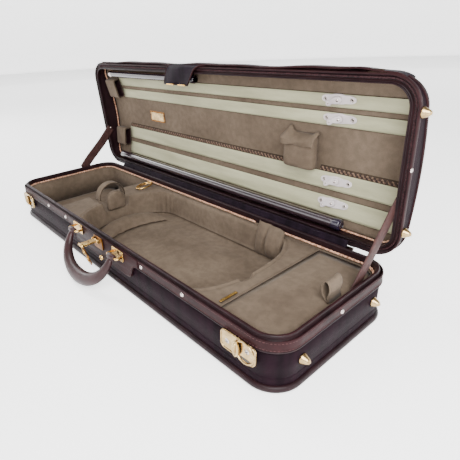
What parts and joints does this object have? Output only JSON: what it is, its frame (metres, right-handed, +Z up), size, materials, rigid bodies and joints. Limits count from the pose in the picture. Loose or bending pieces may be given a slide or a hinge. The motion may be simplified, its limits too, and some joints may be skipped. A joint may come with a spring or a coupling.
{
  "type": "violin case",
  "caption": "Oblong hard violin case, open: fabric-covered base and arched lid, velvet bed, bow holders, latches and a padded handle.",
  "frame": {"origin": "centre of the flat underside of the base", "axes": "+X along the length towards the accessory compartment, +Y to the hinge, +Z up"},
  "size_m": [0.8025, 0.3494, 0.3329],
  "materials": {
    "canvas": "woven polyester cover, satin weave",
    "leather": "smooth plum-brown leather",
    "velvet": "crushed velvet lining",
    "rope_trim": "twisted two-tone cord trim",
    "brass": "polished",
    "tube": "glossy aubergine",
    "enamel": "white moulded",
    "ribbon": "grosgrain ribbon"
  },
  "bodies": {
    "base": {"base_band": "leather", "base_piping": "leather", "base_rim": "leather", "base_rope": "rope_trim", "base_shell": "canvas", "base_stud_back": "brass", "base_stud_front": "brass", "floor_pad": "velvet", "front_panel": "leather", "handle_bracket_left": "brass", "handle_bracket_right": "brass", "hinge_gusset": "canvas", "hinge_leaf_base": "brass", "hinge_pin": "brass", "keyhole_boss": "brass", "latch_plate_left": "brass", "latch_plate_right": "brass", "lock_plate": "brass", "neck_pad": "velvet", "pocket_ring": "brass", "scroll_pad": "velvet", "stay_left": "ribbon", "stay_right": "ribbon", "upper_bout_pad": "velvet", "violin_bed": "velvet"},
    "lid": {"bow_spinner_plate_1": "enamel", "bow_spinner_plate_2": "enamel", "bow_spinner_plate_3": "enamel", "bow_spinner_plate_4": "enamel", "bow_tip_pocket_lower": "velvet", "bow_tip_pocket_upper": "velvet", "flap_tongue": "canvas", "hinge_leaf_lid": "brass", "lid_catch_left": "brass", "lid_catch_right": "brass", "lid_panel": "velvet", "lid_piping": "leather", "lid_pouch": "velvet", "lid_rim": "leather", "lid_rope": "rope_trim", "lid_shell": "canvas", "lid_stud_back": "brass", "lid_stud_front": "brass", "nameplate": "brass", "short_tube": "tube", "string_tube": "tube"},
    "handle": {"handle": "leather"},
    "hasp_arm": {"hasp_arm": "brass"},
    "hasp_tongue": {"hasp_tongue": "brass"},
    "latch_knob_left": {"latch_knob_left": "brass"},
    "latch_knob_right": {"latch_knob_right": "brass"},
    "compartment_lid": {"compartment_lid": "velvet", "pull_loop": "velvet"},
    "neck_strap": {"neck_strap": "velvet"},
    "weather_flap": {"weather_flap": "canvas"},
    "string_tube_cap": {"string_tube_cap": "tube"},
    "bow_spinner_lever_1": {"bow_spinner_lever_1": "enamel"},
    "bow_spinner_lever_2": {"bow_spinner_lever_2": "enamel"},
    "bow_spinner_lever_3": {"bow_spinner_lever_3": "enamel"},
    "bow_spinner_lever_4": {"bow_spinner_lever_4": "enamel"}
  },
  "joints": [
    {"name": "lid_hinge", "type": "hinge", "parent": "base", "child": "lid", "pos_m": [0, 0.1273, 0.0752], "axis": [-1, 0, 0], "range_deg": [-86, 0], "deforming": ["stay_left", "stay_right", "hinge_gusset", "flap_tongue"]},
    {"name": "handle_pivot", "type": "hinge", "parent": "base", "child": "handle", "pos_m": [0, -0.139, 0.066], "axis": [-1, 0, 0], "range_deg": [0, 86]},
    {"name": "hasp_arm_pivot", "type": "hinge", "parent": "base", "child": "hasp_arm", "pos_m": [0.006, -0.1315, 0.069], "axis": [-1, 0, 0], "range_deg": [0, 90]},
    {"name": "hasp_tongue_pivot", "type": "hinge", "parent": "hasp_arm", "child": "hasp_tongue", "pos_m": [0.006, -0.1585, 0.069], "axis": [-1, 0, 0], "range_deg": [-20, 20]},
    {"name": "latch_knob_left_turn", "type": "hinge", "parent": "base", "child": "latch_knob_left", "pos_m": [-0.338, -0.129, 0.048], "axis": [0, 1, 0], "range_deg": [0, 90]},
    {"name": "latch_knob_right_turn", "type": "hinge", "parent": "base", "child": "latch_knob_right", "pos_m": [0.338, -0.129, 0.048], "axis": [0, 1, 0], "range_deg": [0, 90]},
    {"name": "compartment_lid_hinge", "type": "hinge", "parent": "base", "child": "compartment_lid", "pos_m": [0.281, 0, 0.063], "axis": [0, -1, 0], "range_deg": [0, 75]},
    {"name": "neck_strap_hinge", "type": "hinge", "parent": "base", "child": "neck_strap", "pos_m": [-0.178, 0.032, 0.0624], "axis": [-1, 0, 0], "range_deg": [0, 60]},
    {"name": "weather_flap_fold", "type": "hinge", "parent": "lid", "child": "weather_flap", "pos_m": [0, 0.11259, 0.3315], "axis": [1, 0, 0], "range_deg": [0, 150]},
    {"name": "tube_cap_slide", "type": "slide", "parent": "lid", "child": "string_tube_cap", "axis": [1, 0, 0], "range_m": [0, 0.016]},
    {"name": "bow_spinner_1_turn", "type": "hinge", "parent": "lid", "child": "bow_spinner_lever_1", "pos_m": [0.272, 0.14386, 0.28667], "axis": [0, 0.9563, 0.2925], "range_deg": [0, 90]},
    {"name": "bow_spinner_2_turn", "type": "hinge", "parent": "lid", "child": "bow_spinner_lever_2", "pos_m": [0.272, 0.15128, 0.25862], "axis": [0, 0.9759, 0.2181], "range_deg": [0, 90]},
    {"name": "bow_spinner_3_turn", "type": "hinge", "parent": "lid", "child": "bow_spinner_lever_3", "pos_m": [0.272, 0.15951, 0.16146], "axis": [0, 0.9987, -0.0514], "range_deg": [0, 90]},
    {"name": "bow_spinner_4_turn", "type": "hinge", "parent": "lid", "child": "bow_spinner_lever_4", "pos_m": [0.272, 0.15599, 0.12612], "axis": [0, 0.9893, -0.146], "range_deg": [0, 90]}
  ]
}
